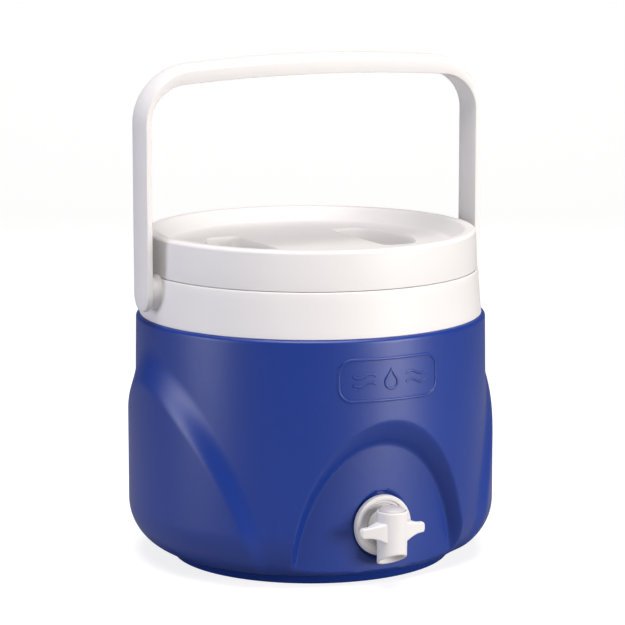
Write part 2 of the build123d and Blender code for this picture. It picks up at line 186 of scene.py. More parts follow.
def ease_edge(t):
    """Straight slope with a small round at each edge."""
    soft = 0.13
    t = np.clip(t, 0.0, 1.0)
    low = t ** 2 / (2 * soft * (1 - soft))
    middle = (t - soft / 2) / (1 - soft)
    high = 1 - (1 - t) ** 2 / (2 * soft * (1 - soft))
    return np.where(t < soft, low, np.where(t > 1 - soft, high, middle))


def on_round(azimuth, radius, z):
    """Points at a radius and a height for azimuths in degrees."""
    turn = np.radians(azimuth)
    return np.stack([radius * np.sin(turn), -radius * np.cos(turn), np.broadcast_to(z, turn.shape)], -1)


shell_azimuths = np.concatenate([
    np.arange(-180, -140, 0.6), np.arange(-140, -38, 0.7), np.arange(-38, 38, 0.3),
    np.arange(38, 140, 0.7), np.arange(140, 180, 0.6)])
level_ring = np.ones_like(shell_azimuths)
shell_rings = []
for radius, z in ((FOOT_IN - 1, FLOOR_Z), (FOOT_IN, FLOOR_Z - 1), (FOOT_IN, 1.2), (FOOT_IN + 1, 0.2),
                  (FOOT_IN + 2, 0), (FOOT_OUT - 2, 0), (FOOT_OUT - 0.8, 0.3), (FOOT_OUT, 1.2),
                  (FOOT_OUT, FLOOR_Z - 0.8), (FOOT_OUT + 0.8, FLOOR_Z + 0.1), (BASE_R - 2.6, FLOOR_Z + 0.1)):
    shell_rings.append(on_round(shell_azimuths, radius * level_ring, z))
side_heights = np.concatenate([
    FLOOR_Z + np.array([BASE_START, 0.7, 1.4, 2.4]), np.arange(FLOOR_Z + 3.5, CORNER_Z, 1.1),
    np.arange(CORNER_Z, SHELL_TOP - 6, 1.3), [SHELL_TOP - 5.1, SHELL_TOP - 4]])
for z in side_heights:
    under = max(FLOOR_Z + BASE_EASE - z, 0) / (BASE_EASE - BASE_START)
    radius = shell_radius(shell_azimuths, z * level_ring) - BASE_TUCK * under ** 2
    shell_rings.append(on_round(shell_azimuths, radius, z))
for lean in np.radians(np.arange(0, 91, 11.25)):
    top = shell_radius(shell_azimuths, (SHELL_TOP - TOP_ROUND) * level_ring) - TOP_ROUND
    shell_rings.append(on_round(
        shell_azimuths, top + TOP_ROUND * math.cos(lean), SHELL_TOP - TOP_ROUND + TOP_ROUND * math.sin(lean)))
for radius, z in ((MOUTH_R + 0.5, SHELL_TOP), (MOUTH_R, SHELL_TOP - 0.5), (MOUTH_R, SHELL_TOP - SHELL_WALL)):
    shell_rings.append(on_round(shell_azimuths, radius * level_ring, z))
for z in (SHELL_TOP - SHELL_WALL, *np.arange(SHELL_TOP - 5.7, FLOOR_Z + 4, -4.0), FLOOR_Z + SHELL_WALL):
    radius = shell_radius(shell_azimuths, z * level_ring, SHELL_WALL)
    shell_rings.append(on_round(shell_azimuths, radius, z))
body_shell = skin(
    "body_shell_moulded", shell_rings, poles=((0, 0, FLOOR_Z), (0, 0, FLOOR_Z + SHELL_WALL)), sharp=50)

# Badge: a raised frame round a drop between two pairs of waves, part of the same moulding.
BADGE_Z = 162.7
BADGE_HALF = (42.2, 15.8)
BADGE_CORNER = 11.0
BADGE_LINE = 2.4
BADGE_RISE = 0.75
RIDGE_HALF = [(0.18, 1.0), (0.36, 0.8), (0.46, 0.35), (0.5, -0.6)]  # shares of width and rise
DROP_R = 5.2
DROP_FALL = 2.2
DROP_TIP = 7.6
DROP_LINE = 2.0
WAVE_START = 13.0
WAVE_LONG = 18.0
WAVE_RISE = 1.5
WAVE_PITCH = 2.9
WAVE_LIFT = 3.2
WAVE_LINE = 1.8


def raised_line(name, path, width, closed):
    """A low rounded ridge that follows the shell's front along a path of (side, height) points."""
    path = np.asarray(path, dtype=float)
    ahead = np.roll(path, -1, 0) - np.roll(path, 1, 0)
    if not closed:
        ahead[0] = path[1] - path[0]
        ahead[-1] = path[-1] - path[-2]
    ahead /= np.linalg.norm(ahead, axis=1)[:, None]
    normal = np.stack([-ahead[:, 1], ahead[:, 0]], -1)
    rings = []
    for reach, rise in [(-reach, rise) for reach, rise in reversed(RIDGE_HALF)] + RIDGE_HALF:
        side, height = (path + normal * reach * width).T
        turn = np.degrees(side / SIDE_R)
        rings.append(on_round(turn, shell_radius(turn, height) + rise * BADGE_RISE, height))
    rings = np.asarray(rings).transpose(1, 0, 2)
    if closed:
        return skin(name, rings, closed=True)
    return skin(name, rings, poles=(rings[0].mean(0), rings[-1].mean(0)))


badge_path = []
for quarter in range(4):
    sign_x = (1, -1, -1, 1)[quarter]
    sign_z = (1, 1, -1, -1)[quarter]
    for step in np.linspace(0, 90, 13):
        lean = math.radians(step + 90 * quarter)
        badge_path.append((
            sign_x * (BADGE_HALF[0] - BADGE_CORNER) + BADGE_CORNER * math.cos(lean),
            BADGE_Z + sign_z * (BADGE_HALF[1] - BADGE_CORNER) + BADGE_CORNER * math.sin(lean)))
badge_path.append(badge_path[0])
badge_path = np.asarray(badge_path)
stretch = np.concatenate([[0], np.cumsum(np.hypot(*np.diff(badge_path, axis=0).T))])
steps = np.arange(0, stretch[-1] - 0.5, 1.0)
badge_path = np.stack([np.interp(steps, stretch, badge_path[:, i]) for i in (0, 1)], -1)
badge_frame = raised_line("badge_frame", badge_path, BADGE_LINE, True)
drop_path = []
for lean in np.radians(np.linspace(-230, 50, 33)):
    drop_path.append((DROP_R * math.cos(lean), BADGE_Z - DROP_FALL + DROP_R * math.sin(lean)))
drop_path.append((0, BADGE_Z + DROP_TIP))
badge_drop = raised_line("badge_drop", drop_path, DROP_LINE, True)
badge_pieces = [badge_frame, badge_drop]
for side, side_word in ((-1, "left"), (1, "right")):
    for lift, lift_word in ((-WAVE_LIFT, "low"), (WAVE_LIFT, "high")):
        wave = []
        for step in np.linspace(0, WAVE_LONG, 37):
            height = BADGE_Z + lift + WAVE_RISE * math.sin(step / WAVE_PITCH)
            wave.append((side * (WAVE_START + step), height))
        badge_pieces.append(raised_line(f"badge_wave_{side_word}_{lift_word}", wave, WAVE_LINE, False))

# Polyethylene with mould texture: a satin skin whose fine pebbles scatter the light, IOR 1.51.
shell_material = bpy.data.materials.new("moulded_polyethylene_blue")
shell_material.use_nodes = True
tree = shell_material.node_tree
shader = tree.nodes["Principled BSDF"]
shader.inputs["IOR"].default_value = 1.51
shader.inputs["Specular IOR Level"].default_value = 0.5
PEBBLE_MM = 0.9             # real grain is about 0.5 mm; drawn coarser so that it shows
CLOUD_MM = 60.0             # slow drift in the pigment
place = add_node(tree, "ShaderNodeTexCoord", {})
pebbles = add_node(tree, "ShaderNodeTexNoise", {
    "Vector": place.outputs["Object"], "Scale": 1000 / PEBBLE_MM, "Detail": 2.0, "Roughness": 0.55})
clouds = add_node(tree, "ShaderNodeTexNoise", {
    "Vector": place.outputs["Object"], "Scale": 1000 / CLOUD_MM, "Detail": 3.0})
tint = add_node(tree, "ShaderNodeMix", {
    "Factor": clouds.outputs["Fac"], "A": linear("#0A2D7E"), "B": linear("#0D3389")}, data_type="RGBA")
speckle = add_node(tree, "ShaderNodeMix", {
    "Factor": 0.06, "A": tint.outputs["Result"], "B": pebbles.outputs["Color"]},
    data_type="RGBA", blend_type="OVERLAY")
dull = add_node(tree, "ShaderNodeMapRange", {
    "Value": pebbles.outputs["Fac"], "To Min": 0.33, "To Max": 0.43})
grain = add_node(tree, "ShaderNodeBump", {
    "Height": pebbles.outputs["Fac"], "Strength": 0.55, "Distance": 0.00016})
tree.links.new(speckle.outputs["Result"], shader.inputs["Base Color"])
tree.links.new(dull.outputs["Result"], shader.inputs["Roughness"])
tree.links.new(grain.outputs["Normal"], shader.inputs["Normal"])
for piece in [body_shell, *badge_pieces]:
    piece.data.materials.append(shell_material)
    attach(piece, "jug")
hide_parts("body_shell")
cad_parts["foam_fill_plug"].data.materials.clear()
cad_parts["foam_fill_plug"].data.materials.append(shell_material)

# ---------------------------------------------------------------------------------------------
# Collar. A white polypropylene ring pressed onto the shell's top edge. It is hollow, carries the
# handle's two round bosses outside, and three slanting thread ribs inside for the lid.
COLLAR_LOW = (134.8, 193.8)
COLLAR_HIGH = (131.8, 229.1)
COLLAR_WALL = 2.8
THROAT_R = 119.0
THROAT_WALL = 2.5
LINER_TOP = 209.9
PIVOT_Z = 217.0
THREAD_LEAD = 24.0
RIB_Z = 222.0
RIB_REACH = 1.8
RIB_HALF = 1.5
RIB_ARC = 25.0
BOSS_R = 12.0
BOSS_IN = 129.2
BOSS_FACE = 140.0
BORE_R = 6.08


def thread_rise(azimuth, z, middle, reach, sign):
    """How far a thread rib stands out of its wall at each azimuth, for three starts."""
    turn = (azimuth - 90 + 60) % 120 - 60
    off = np.abs(z - middle - THREAD_LEAD * turn / 360)
    flank = np.clip((RIB_HALF + 0.35 - off) / 0.7, 0, 1)
    end = np.clip((RIB_ARC + 0.8 - np.abs(turn)) / 1.6, 0, 1)
    return sign * reach * flank * end


ring_azimuths = np.arange(0, 360, 1.0)
level_ring = np.ones_like(ring_azimuths)
collar_rings = []
low_r, low_z = COLLAR_LOW
high_r, high_z = COLLAR_HIGH
for radius, z in (
        (low_r - COLLAR_WALL, low_z), (low_r - 0.5, low_z), (low_r, low_z + 0.4),
        (high_r + 0.6, high_z - 6.7), (high_r + 0.15, high_z - 1.5), (high_r - 0.1, high_z - 0.6),
        (high_r - 0.6, high_z - 0.1), (high_r - 1.2, high_z), (THROAT_R + 0.8, high_z),
        (THROAT_R + 0.2, high_z - 0.2), (THROAT_R, high_z - 0.7)):
    collar_rings.append(on_round(ring_azimuths, radius * level_ring, z))
for z in np.arange(high_z - 1.3, RIB_Z - 7, -0.45):
    radius = THROAT_R - thread_rise(ring_azimuths, z, RIB_Z, RIB_REACH, 1)
    collar_rings.append(on_round(ring_azimuths, radius, z))
inner_r = THROAT_R + THROAT_WALL
ceiling_z = high_z - COLLAR_WALL
for radius, z in ((THROAT_R, RIB_Z - 7.5), (THROAT_R, LINER_TOP), (inner_r, LINER_TOP),
                  (inner_r, ceiling_z), (high_r - COLLAR_WALL, ceiling_z)):
    collar_rings.append(on_round(ring_azimuths, radius * level_ring, z))
collar_ring = skin("collar_ring", collar_rings, closed=True, sharp=35)


def turned_x(name, side, profile):
    """A turned piece on the handle's pivot line; the profile is (distance from the middle, radius)."""
    turn = np.radians(np.arange(0, 360, 5.0))
    rings = []
    for along, radius in profile:
        x = side * along * np.ones_like(turn)
        rings.append(np.stack([x, radius * np.cos(turn), PIVOT_Z + radius * np.sin(turn)], -1))
    return skin(name, rings, closed=True, sharp=35)


collar_pieces = [collar_ring]
for side, word in ((-1, "left"), (1, "right")):
    collar_pieces.append(turned_x(f"collar_boss_{word}", side, (
        (BOSS_IN, BORE_R), (BOSS_IN, BOSS_R), (BOSS_IN + 2.0, BOSS_R + 2.6), (BOSS_IN + 3.4, BOSS_R + 1.5),
        (BOSS_IN + 4.4, BOSS_R + 0.7), (BOSS_IN + 5.6, BOSS_R + 0.2), (BOSS_IN + 7.3, BOSS_R),
        (BOSS_FACE - 0.8, BOSS_R), (BOSS_FACE - 0.25, BOSS_R - 0.2), (BOSS_FACE, BOSS_R - 0.8),
        (BOSS_FACE, BORE_R + 0.4), (BOSS_FACE - 0.4, BORE_R))))

# Polypropylene, moulded against a polished tool: an even warm white with a soft gloss, IOR 1.49.
white_material = bpy.data.materials.new("moulded_polypropylene_white")
white_material.use_nodes = True
tree = white_material.node_tree
shader = tree.nodes["Principled BSDF"]
shader.inputs["IOR"].default_value = 1.49
shader.inputs["Specular IOR Level"].default_value = 0.3
shader.inputs["Subsurface Weight"].default_value = 0.06
shader.inputs["Subsurface Radius"].default_value = (0.004, 0.004, 0.0035)
shader.inputs["Subsurface Scale"].default_value = 1.0
FLOW_MM = 45.0              # faint flow marks of the melt
HAZE_MM = 1.4               # fine haze of the tool's polish
place = add_node(tree, "ShaderNodeTexCoord", {})
flow = add_node(tree, "ShaderNodeTexNoise", {
    "Vector": place.outputs["Object"], "Scale": 1000 / FLOW_MM, "Detail": 3.0})
haze = add_node(tree, "ShaderNodeTexNoise", {
    "Vector": place.outputs["Object"], "Scale": 1000 / HAZE_MM, "Detail": 2.0})
tint = add_node(tree, "ShaderNodeMix", {
    "Factor": flow.outputs["Fac"], "A": linear("#DAD9DA"), "B": linear("#DFDDDC")}, data_type="RGBA")
dull = add_node(tree, "ShaderNodeMapRange", {
    "Value": haze.outputs["Fac"], "To Min": 0.42, "To Max": 0.54})
skin_bump = add_node(tree, "ShaderNodeBump", {
    "Height": haze.outputs["Fac"], "Strength": 0.12, "Distance": 0.0001})
tree.links.new(tint.outputs["Result"], shader.inputs["Base Color"])
tree.links.new(dull.outputs["Result"], shader.inputs["Roughness"])
tree.links.new(skin_bump.outputs["Normal"], shader.inputs["Normal"])
for piece in collar_pieces:
    piece.data.materials.append(white_material)
    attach(piece, "jug")
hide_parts("collar")

# ---------------------------------------------------------------------------------------------
# Bail handle. One polypropylene moulding: two flat legs that thicken through round corners into
# the grip. Its outside is crowned between two crisp edges, and its legs end in snap trunnions.
LEG_IN = 140.3
LEG_EDGE = 144.6
LEG_CROWN = 2.3
HANDLE_HALF = 14.0
GRIP_LOW = 381.3
GRIP_EDGE = 391.2
GRIP_CROWN = 6.0
GRIP_ARCH = 1514.0
IN_CORNER = 30.0
OUT_CORNER = 41.0
CROWN_FULL = 0.8            # below 1, the crown is fuller than a round one
TRUNNION_R = 6.0
TRUNNION_BORE = 3.2
TRUNNION_END = 126.4
BARB_R = 7.3                # snaps out behind the collar's wall
LEG_STEPS = 30
BEND_STEPS = 25
GRIP_STEPS = 30


def arch_line(half, peak, corner):
    """Half of an arch from the pivot up to the middle: points with equal counts on each stretch."""
    flat = half - corner
    centre = (flat, peak - flat ** 2 / (2 * GRIP_ARCH) - corner)
    line = [(half, PIVOT_Z + t * (centre[1] - PIVOT_Z)) for t in np.linspace(0, 1, LEG_STEPS)]
    tilt = math.atan(flat / GRIP_ARCH)
    for lean in np.linspace(0, math.pi / 2 - tilt, BEND_STEPS)[1:]:
        line.append((centre[0] + corner * math.cos(lean), centre[1] + corner * math.sin(lean)))
    end_x = line[-1][0]
    end_z = line[-1][1]
    for t in np.linspace(0, 1, GRIP_STEPS)[1:]:
        x = end_x * (1 - t)
        line.append((x, end_z + (end_x ** 2 - x ** 2) / (2 * GRIP_ARCH)))
    return np.asarray(line)


inner_line = arch_line(LEG_IN, GRIP_LOW, IN_CORNER)
edge_line = arch_line(LEG_EDGE, GRIP_EDGE, OUT_CORNER)
swell = ease(np.concatenate([
    np.zeros(LEG_STEPS), np.linspace(0, 1, BEND_STEPS)[1:], np.ones(GRIP_STEPS - 1)]))
crown_line = LEG_CROWN + (GRIP_CROWN - LEG_CROWN) * swell
outward = edge_line - inner_line
outward /= np.linalg.norm(outward, axis=1)[:, None]


def handle_section(inside, edge, out, crown, half):
    """Points round one cut of the handle: flat inside, small rounds, crisp edges, crowned outside."""
    thick = np.linalg.norm(edge - inside)
    small = min(1.0, half * 0.3)
    flat = [(-half + small, 0.0), (-half + 0.3 * small, 0.25 * small), (-half, small)]
    crest = [(half * s, thick + crown * (1 - s * s) ** CROWN_FULL) for s in np.linspace(-1, 1, 17)]
    loop = flat + crest + [(-a, b) for a, b in reversed(flat)]
    loop += [(half - small - (2 * half - 2 * small) * t, 0.0) for t in (0.25, 0.5, 0.75)]
    return [(inside[0] + out[0] * b, a, inside[1] + out[1] * b) for a, b in loop]


half_rings = []
for lean in np.radians(np.concatenate([np.arange(88, 0, -5.5), [0.5]])):
    below = np.array([0, HANDLE_HALF * math.sin(lean)])
    half_rings.append(handle_section(
        inner_line[0] - below, edge_line[0] - below, outward[0], LEG_CROWN * math.cos(lean) ** 0.7,
        HANDLE_HALF * math.cos(lean)))
for i in range(len(inner_line)):
    half_rings.append(handle_section(inner_line[i], edge_line[i], outward[i], crown_line[i], HANDLE_HALF))
half_rings = np.asarray(half_rings)
mirrored = half_rings[-2::-1] * np.array([-1, 1, 1])
handle_rings = np.concatenate([half_rings, mirrored])
leg_ends = (handle_rings[0].mean(0), handle_rings[-1].mean(0))
bail = skin("bail_handle_moulded", handle_rings, poles=leg_ends, sharp=28)
handle_pieces = [bail]
for side, word in ((-1, "left"), (1, "right")):
    handle_pieces.append(turned_x(f"handle_trunnion_{word}", side, (
        (TRUNNION_END, TRUNNION_BORE), (TRUNNION_END, BARB_R - 0.9), (TRUNNION_END + 0.8, BARB_R),
        (TRUNNION_END + 2.2, BARB_R), (TRUNNION_END + 2.3, TRUNNION_R), (LEG_IN + 0.3, TRUNNION_R),
        (LEG_IN + 0.7, TRUNNION_BORE))))
for piece in handle_pieces:
    piece.data.materials.append(white_material)
    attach(piece, "handle")
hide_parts("bail_handle")

# ---------------------------------------------------------------------------------------------
# Lid top. A white polypropylene cap with a recess that takes the foot of another jug, and two
# deep pockets that leave a straight bar across the middle for turning it.
LID_LOW_R = 131.2
LID_LOW_Z = 229.5
LID_HIGH_R = 130.1
LID_TOP = 260.0
LID_ROUND = 3.0
RIM_IN = 121.2
FLOOR_R = 113.2
LID_FLOOR = 249.0
BAR_HALF = 41.0
POCKET_OUT = 83.0
POCKET_LONG = 49.0
POCKET_DEPTH = 13.9
POCKET_SLOPE = 4.5
POCKET_SOFT = 9.0           # how soon the pockets' sides round into each other
LID_WALL = 2.5


def soft_max(first, second):
    """The larger of two distances, rounded over where they meet."""
    share = np.clip(0.5 + 0.5 * (first - second) / POCKET_SOFT, 0, 1)
    return second * (1 - share) + first * share + POCKET_SOFT * share * (1 - share)


def lid_height(x, y):
    """Height of the recess floor with its two pockets: straight at the bar, round outside."""
    depth = 0
    for side in (-1, 1):
        sides = soft_max(BAR_HALF - side * x, np.hypot(x, y) - POCKET_OUT)
        far = soft_max(sides, np.abs(y) - POCKET_LONG)
        depth = depth + ease(-far / POCKET_SLOPE) * POCKET_DEPTH
    return LID_FLOOR - depth


lid_azimuths = np.arange(0, 360, 0.5)
level_ring = np.ones_like(lid_azimuths)
lid_rings = []
floor_radii = np.concatenate([
    [1.5], np.arange(4, BAR_HALF - 3, 4.0), np.arange(BAR_HALF - 2, POCKET_OUT + 3, 0.7),
    np.linspace(POCKET_OUT + 5, FLOOR_R - 2.5, 8)])
for radius in floor_radii:
    ring = on_round(lid_azimuths, radius * level_ring, 0.0)
    ring[:, 2] = lid_height(ring[:, 0], ring[:, 1])
    lid_rings.append(ring)
for radius, z in (
        (FLOOR_R - 1.2, LID_FLOOR + 0.15), (FLOOR_R - 0.2, LID_FLOOR + 0.7), (FLOOR_R + 0.6, LID_FLOOR + 1.6),
        (RIM_IN - 1.6, LID_TOP - 2.6), (RIM_IN - 0.7, LID_TOP - 1.1), (RIM_IN + 0.3, LID_TOP - 0.3),
        (RIM_IN + 1.3, LID_TOP)):
    lid_rings.append(on_round(lid_azimuths, radius * level_ring, z))
for lean in np.radians(np.arange(0, 91, 11.25)):
    lid_rings.append(on_round(
        lid_azimuths, (LID_HIGH_R - LID_ROUND + LID_ROUND * math.sin(lean)) * level_ring,
        LID_TOP - LID_ROUND + LID_ROUND * math.cos(lean)))
under_rim = LID_TOP - LID_WALL
for radius, z in (
        (LID_LOW_R - 0.5, LID_LOW_Z + 13.5), (LID_LOW_R, LID_LOW_Z + 0.9),
        (LID_LOW_R - 0.05, LID_LOW_Z + 0.3), (LID_LOW_R - 0.4, LID_LOW_Z), (LID_LOW_R - 2.0, LID_LOW_Z),
        (LID_LOW_R - 2.4, LID_LOW_Z + 0.4), (LID_HIGH_R - 1.9, under_rim - 12.5),
        (LID_HIGH_R - 2.5, under_rim - 1.1), (LID_HIGH_R - 4.1, under_rim), (RIM_IN + 2.4, under_rim),
        (RIM_IN + 1.7, under_rim - 1.1), (FLOOR_R + 2.4, LID_FLOOR - 2.0)):
    lid_rings.append(on_round(lid_azimuths, radius * level_ring, z))
for radius in np.arange(FLOOR_R - 3.2, 2, -3.0):
    ring = on_round(lid_azimuths, radius * level_ring, 0.0)
    ring[:, 2] = lid_height(ring[:, 0], ring[:, 1]) - LID_WALL
    lid_rings.append(ring)
lid = skin("lid_top_moulded", lid_rings, poles=((0, 0, LID_FLOOR), (0, 0, LID_FLOOR - LID_WALL)))
lid.data.materials.append(white_material)
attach(lid, "lid")
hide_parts("lid_top")

# ---------------------------------------------------------------------------------------------
# Inside of the jug. The tank liner and the lid's underside are white mouldings. Foam is poured in
# between the walls and sets there, and plugs close the holes it went in by. Grey silicone rings
# seal the lid and the spigot.
for name in ("lid_plug", "lid_fill_plug", "inner_liner"):
    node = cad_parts[name]
    node.data.materials.clear()
    node.data.materials.append(white_material)

# Polyurethane foam as it sets against a mould: dull, pale yellow, with fine closed cells.
foam_material = bpy.data.materials.new("poured_polyurethane_foam")
foam_material.use_nodes = True
tree = foam_material.node_tree
shader = tree.nodes["Principled BSDF"]
shader.inputs["Roughness"].default_value = 0.9
CELL_MM = 1.2               # real cells are about 0.5 mm; drawn coarser so that they show
place = add_node(tree, "ShaderNodeTexCoord", {})
cells = add_node(tree, "ShaderNodeTexVoronoi", {
    "Vector": place.outputs["Object"], "Scale": 1000 / CELL_MM})
tint = add_node(tree, "ShaderNodeMix", {
    "Factor": cells.outputs["Distance"], "A": linear("#D9C28A"), "B": linear("#F0E2B4")}, data_type="RGBA")
bubbles = add_node(tree, "ShaderNodeBump", {
    "Height": cells.outputs["Distance"], "Strength": 0.6, "Distance": 0.0005})
tree.links.new(tint.outputs["Result"], shader.inputs["Base Color"])
tree.links.new(bubbles.outputs["Normal"], shader.inputs["Normal"])
FOAM_LOW = 10.8
FOAM_TOP = 190.8
FOAM_GAP = 0.3              # between the foam and the shell's inside
HOLLOW_HIGH = (114.7, 190.8)  # radius and height of the space for the liner
HOLLOW_LOW = (111.1, 33.0)
HOLLOW_FLOOR = (104.0, 27.0)
full_ring = np.ones_like(shell_azimuths)
foam_rings = []
for z in (FOAM_LOW, *np.arange(14, 189, 5.0), FOAM_TOP):
    radius = shell_radius(shell_azimuths, z * full_ring, SHELL_WALL + FOAM_GAP)
    foam_rings.append(on_round(shell_azimuths, radius, z))
for radius, z in (*np.linspace(HOLLOW_HIGH, HOLLOW_LOW, 12), HOLLOW_FLOOR):
    foam_rings.append(on_round(shell_azimuths, radius * full_ring, z))
foam = skin("foam_filling", foam_rings, poles=((0, 0, FOAM_LOW), (0, 0, HOLLOW_FLOOR[1])))
foam.data.materials.append(foam_material)
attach(foam, "jug")
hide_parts("insulation_foam")
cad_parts["lid_foam"].data.materials.clear()
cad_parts["lid_foam"].data.materials.append(foam_material)

# Silicone rubber from a matt tool: an even, soft-looking grey with a faint bloom, IOR 1.41.
seal_material = bpy.data.materials.new("moulded_silicone_grey")
seal_material.use_nodes = True
tree = seal_material.node_tree
shader = tree.nodes["Principled BSDF"]
shader.inputs["IOR"].default_value = 1.41
BLOOM_MM = 3.0
place = add_node(tree, "ShaderNodeTexCoord", {})
bloom = add_node(tree, "ShaderNodeTexNoise", {
    "Vector": place.outputs["Object"], "Scale": 1000 / BLOOM_MM, "Detail": 3.0})
tint = add_node(tree, "ShaderNodeMix", {
    "Factor": bloom.outputs["Fac"], "A": linear("#8E9493"), "B": linear("#A2A7A5")}, data_type="RGBA")
dull = add_node(tree, "ShaderNodeMapRange", {
    "Value": bloom.outputs["Fac"], "To Min": 0.5, "To Max": 0.68})
tree.links.new(tint.outputs["Result"], shader.inputs["Base Color"])
tree.links.new(dull.outputs["Result"], shader.inputs["Roughness"])
for name in ("lid_gasket", "faucet_outer_washer", "faucet_inner_washer", "valve_cup", "stem_seal"):
    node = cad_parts[name]
    node.data.materials.clear()
    node.data.materials.append(seal_material)

# ---------------------------------------------------------------------------------------------
# Spigot. A valve of white polypropylene mouldings, held by a nut inside the tank. A dished flange
# seals against the shell, and the upright tube holds a sprung push button between two finger wings.
TUBE_Y = -140.5
TUBE_TOP = 62.0
TUBE_R = (12.0, 11.35)      # at the rim and at the bottom
BUTTON_BORE = 10.1
GUIDE_Z = (51.5, 53.5)
SEAT_Z = (39.0, 41.0)
SEAT_R = 5.5
CHAMBER_R = 9.0
OUTLET_R = 9.3
OUTLET_Z = 23.6
OUTLET_SLOPE = math.tan(math.radians(29.0))
SLANT_BELOW = 37.0          # rings below this follow the outlet's slanting cut
WATER_R = 4.0
SHANK_R = 9.0
SHANK_END = -92.6
NECK_R = 9.2
NECK_Y = -124.9
STEM_R = 2.58
CORE_HIGH = TUBE_TOP + 2
CORE_LOW = 12.0
WING_ROOT = 6.5
WING_TIP = 27.2
WING_FRONT = (-8.7, -2.8)   # places about the tube's and shank's axes, at the root and at the tip
WING_BACK = (2.4, 2.0)
WING_TOP_FRONT = (7.0, 3.1)
WING_TOP_BACK = (9.4, 3.6)
WING_LOW = (-9.7, -4.1)
WING_EDGE = 1.0
VOXEL_MM = 0.34
SMOOTH_ROUNDS = 5


def around_tube(name, profile, closed=True, poles=(None, None)):
    """A turned piece about the tube's axis; the last rings slant with the outlet's cut."""
    turn = np.radians(np.arange(0, 360, 4.0))
    rings = []
    for radius, z in profile:
        x = radius * np.cos(turn)
        y = radius * np.sin(turn)
        height = np.full_like(x, z)
        if z < SLANT_BELOW:
            height = z - y * OUTLET_SLOPE
        rings.append(np.stack([x, TUBE_Y + y, height], -1))
    return skin(name, rings, poles=poles, closed=closed)


tube = around_tube("tube_wall", (
    (TUBE_R[0] - 0.6, TUBE_TOP), (TUBE_R[0] - 0.05, TUBE_TOP - 0.6), (TUBE_R[0] - 0.1, TUBE_TOP - 4),
    (TUBE_R[0] - 0.2, TUBE_TOP - 12), (TUBE_R[0] - 0.4, SLANT_BELOW + 3),
    (TUBE_R[0] - 0.5, SLANT_BELOW + 0.5), (TUBE_R[1], OUTLET_Z + 0.6), (TUBE_R[1] - 0.4, OUTLET_Z),
    (OUTLET_R + 0.5, OUTLET_Z),
    (OUTLET_R, OUTLET_Z + 0.5), (OUTLET_R, SLANT_BELOW + 0.2), (OUTLET_R, SEAT_Z[0]), (SEAT_R, SEAT_Z[0]),
    (SEAT_R, SEAT_Z[1]), (CHAMBER_R, SEAT_Z[1]), (CHAMBER_R, GUIDE_Z[0]), (STEM_R, GUIDE_Z[0]),
    (STEM_R, GUIDE_Z[1]), (BUTTON_BORE, GUIDE_Z[1]), (BUTTON_BORE, TUBE_TOP - 0.4),
    (BUTTON_BORE + 0.5, TUBE_TOP)))


def along_y(name, profile):
    """A turned piece about the shank's axis; the profile is (radius, place along Y)."""
    turn = np.radians(np.arange(0, 360, 3.0))
    rings = []
    for radius, along in profile:
        y = along * np.ones_like(turn)
        rings.append(np.stack([radius * np.cos(turn), y, SPIGOT_Z + radius * np.sin(turn)], -1))
    return skin(name, rings, closed=True, sharp=32)


neck = along_y("neck", (
    (WATER_R - 0.1, TUBE_Y + 6.0), (NECK_R, TUBE_Y + 6.0), (NECK_R + 0.2, NECK_Y - 4.0),
    (NECK_R + 0.8, NECK_Y - 2.4), (NECK_R + 2.4, NECK_Y - 1.6), (NECK_R + 3.1, NECK_Y - 0.8),
    (NECK_R + 3.2, NECK_Y + 1.0), (SHANK_R, NECK_Y + 1.0), (SHANK_R, SHANK_END), (WATER_R, SHANK_END)))


def between(ends, share):
    """A size that runs from its first value to its second."""
    return ends[0] + (ends[1] - ends[0]) * share


def wing(side):
    """A finger wing: deep at the tube, swept back, and scooped underneath towards its tip."""
    rings = []
    for t in np.linspace(0, 1, 15):
        x = between((WING_ROOT, WING_TIP), t)
        end = math.sqrt(max(1 - max(0, (t - 0.93) / 0.07) ** 2, 0.3))
        front = between(WING_FRONT, t ** 1.3)
        back = between(WING_BACK, t)
        top_front = between(WING_TOP_FRONT, t)
        top_back = between(WING_TOP_BACK, min(1, t * 1.5))
        low = between(WING_LOW, 1 - (1 - min(t / 0.7, 1)) ** 1.7)
        middle = np.array([(front + back) / 2, (top_front + low) / 2])
        corners = [(front, low), (back, low), (back, top_back), (front, top_front)]
        loop = []
        for i in range(4):
            here = np.array(corners[i])
            before = np.array(corners[i - 1])
            after = np.array(corners[(i + 1) % 4])
            start = here + (before - here) / np.linalg.norm(before - here) * WING_EDGE
            stop = here + (after - here) / np.linalg.norm(after - here) * WING_EDGE
            for w in (0, 0.5, 1):
                loop.append((1 - w) ** 2 * start + 2 * w * (1 - w) * here + w ** 2 * stop)
        loop = middle + (np.asarray(loop) - middle) * end
        rings.append([(side * x, TUBE_Y + a, SPIGOT_Z + b) for a, b in loop])
    rings = np.asarray(rings)
    return skin("wing", rings, poles=(rings[0].mean(0), rings[-1].mean(0) + np.array([side * 0.2, 0, 0])))


